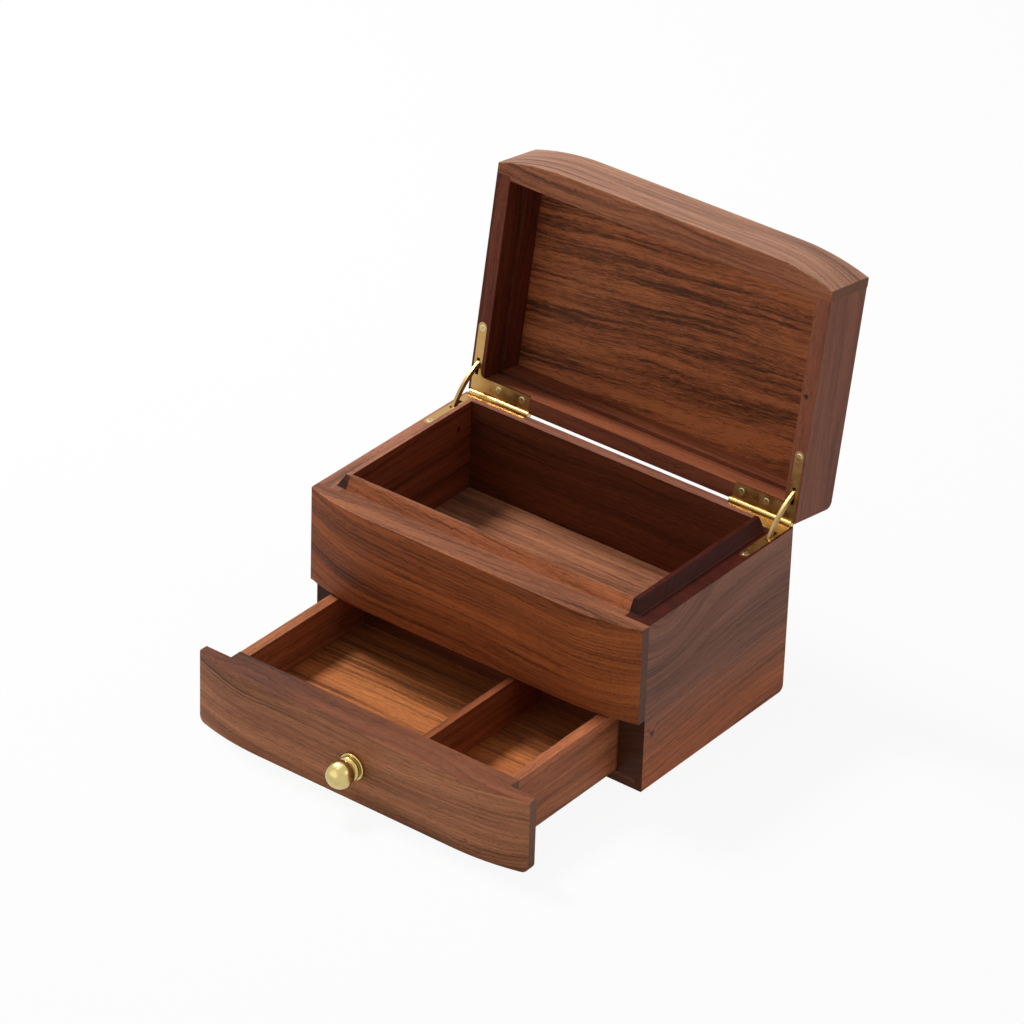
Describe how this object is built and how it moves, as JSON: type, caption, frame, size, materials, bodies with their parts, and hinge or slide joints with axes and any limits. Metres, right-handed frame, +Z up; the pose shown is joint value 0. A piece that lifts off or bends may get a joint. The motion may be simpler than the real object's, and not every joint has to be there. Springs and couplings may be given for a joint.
{
  "type": "ring box with drawer",
  "caption": "Bow-fronted walnut ring box with a hinged lid on brass quadrant hinges, an open upper tray and a divided drawer with a brass knob below.",
  "frame": {"origin": "centre of the case's underside, midway between its sides, and midway between the back face and the ends of the bowed front", "axes": "+X to the right along the front, +Y from the front to the back, +Z up; the lid stands open and the drawer is drawn out towards -Y"},
  "size_m": [0.2, 0.279, 0.2203],
  "materials": {
    "walnut": "satin oiled",
    "brass": "polished"
  },
  "bodies": {
    "case": {"case_left_side": "walnut", "case_right_side": "walnut", "case_back": "walnut", "front_rail": "walnut", "tray_floor": "walnut", "bottom_panel": "walnut", "hinge_left_case_leaf": "brass", "hinge_right_case_leaf": "brass", "hinge_left_pin": "brass", "hinge_right_pin": "brass"},
    "lid": {"lid_left": "walnut", "lid_right": "walnut", "lid_back": "walnut", "lid_front": "walnut", "lid_top_panel": "walnut", "hinge_left_lid_leaf": "brass", "hinge_right_lid_leaf": "brass"},
    "left_stay": {"hinge_left_stay": "brass"},
    "right_stay": {"hinge_right_stay": "brass"},
    "drawer": {"drawer_front": "walnut", "drawer_left_side": "walnut", "drawer_right_side": "walnut", "drawer_back": "walnut", "drawer_bottom": "walnut", "drawer_divider": "walnut", "drawer_knob": "brass"}
  },
  "joints": [
    {"name": "lid_hinge", "type": "hinge", "parent": "case", "child": "lid", "pos_m": [0, 0.06165, 0.0936], "axis": [1, 0, 0], "range_deg": [0, 99.1]},
    {"name": "left_stay_turn", "type": "hinge", "parent": "case", "child": "left_stay", "pos_m": [0, 0.06165, 0.0936], "axis": [1, 0, 0], "range_deg": [0, 49.55]},
    {"name": "right_stay_turn", "type": "hinge", "parent": "case", "child": "right_stay", "pos_m": [0, 0.06165, 0.0936], "axis": [1, 0, 0], "range_deg": [0, 49.55]},
    {"name": "drawer_slide", "type": "slide", "parent": "case", "child": "drawer", "axis": [0, -1, 0], "range_m": [-0.083, 0.01]}
  ],
  "couplings": [
    {"joint": "left_stay_turn", "follows": "lid_hinge", "ratio": 0.5},
    {"joint": "right_stay_turn", "follows": "lid_hinge", "ratio": 0.5}
  ]
}
